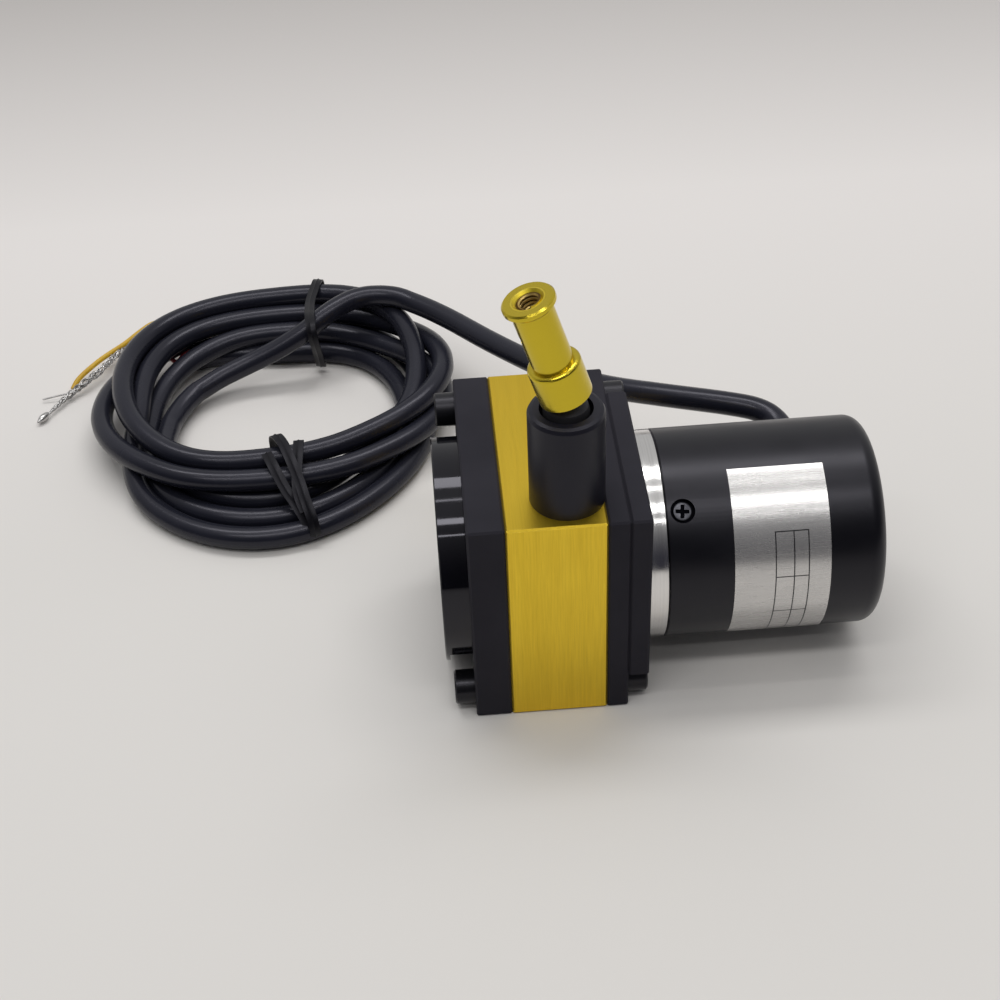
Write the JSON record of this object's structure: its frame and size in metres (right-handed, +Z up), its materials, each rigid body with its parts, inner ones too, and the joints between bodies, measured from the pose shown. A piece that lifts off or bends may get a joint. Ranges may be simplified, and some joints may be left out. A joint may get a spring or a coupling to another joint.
{
  "type": "draw wire encoder",
  "caption": "Draw wire encoder: a square gold drum housing with a round black encoder, a spring case, an upright wire outlet with a threaded wire-end fitting, and a coiled cable.",
  "frame": {"origin": "on the table under the middle of the housing: halfway along the drum axis from spring cover to encoder end, halfway across the square housing", "axes": "+X along the drum axis from the power spring to the encoder; +Y towards the back, away from the wire outlet; +Z up, along the wire as it leaves the outlet"},
  "size_m": [0.2269, 0.1802, 0.1168],
  "materials": {
    "gold_anodised": "brushed and anodised gold",
    "gold_bright": "turned and anodised gold",
    "black_anodised": "matte black anodised",
    "black_gloss": "glossy black",
    "black_steel": "black oxide",
    "steel": "ground",
    "spring_steel": "blued strip",
    "outlet_black": "satin black",
    "ceramic": "glazed",
    "turned_silver": "turned, bare",
    "cap_black": "satin black",
    "foil": "brushed foil",
    "rubber_black": "matte",
    "cable_jacket": "semi-gloss black",
    "tie_black": "matte",
    "core_yellow": "smooth insulation",
    "tinned": "tinned strands",
    "drum_aluminium": "turned",
    "wire_steel": "stranded stainless wire",
    "board_green": "solder resist",
    "brass": "turned",
    "magnet": "nickel plated"
  },
  "bodies": {
    "housing": {"drum_block": "gold_anodised", "spring_plate": "black_anodised", "bearing_plate": "black_anodised", "encoder_flange": "black_anodised", "spring_case": "black_gloss", "spring_cover": "black_gloss", "cover_screws": "black_steel", "tie_screws_spring_side": "black_steel", "tie_screws_encoder_side": "black_steel", "flange_screws": "steel", "wire_outlet": "outlet_black", "guide_bush": "ceramic", "bearing_spring_side": "steel", "bearing_encoder_side": "steel", "power_spring": "spring_steel", "encoder_base": "turned_silver", "base_screws": "steel", "encoder_bearing": "steel", "encoder_board": "board_green", "board_posts": "brass", "encoder_cap": "cap_black", "cap_screws": "black_steel", "cable_grommet": "rubber_black", "foil_label": "foil", "cable_lead": "cable_jacket", "cable_coil": "cable_jacket", "coil_tie_back": "tie_black", "coil_tie_front": "tie_black", "core_yellow": "core_yellow", "core_screen": "tinned"},
    "drum": {"wire_drum": "drum_aluminium", "drum_shaft": "steel", "shaft_spacers": "steel", "spring_arbor": "steel", "wound_wire": "wire_steel", "clamp_collar": "steel", "encoder_shaft": "steel", "magnet": "magnet"},
    "carrier": {"wire_stop": "rubber_black", "wire_bead": "wire_steel", "wire_run": "wire_steel"},
    "fitting": {"wire_fitting": "gold_bright"}
  },
  "joints": [
    {"name": "drum_spin", "type": "hinge", "parent": "housing", "child": "drum", "pos_m": [0, 0, 0.03], "axis": [-1, 0, 0], "range_deg": [0, 3000], "stiffness_Nm_per_rad": 0.00073, "springref_deg": -7505.75},
    {"name": "wire_pull", "type": "slide", "parent": "housing", "child": "carrier", "axis": [0, 0, 1], "range_m": [0, 1], "deforming": ["wire_run"]},
    {"name": "fitting_tilt", "type": "hinge", "parent": "carrier", "child": "fitting", "pos_m": [-0.02285, -0.0191, 0.089], "axis": [-0.1132, 0.9936, 0], "range_deg": [0, 34]}
  ],
  "couplings": [
    {"joint": "wire_pull", "follows": "drum_spin", "m_per_rad": 0.019098}
  ]
}
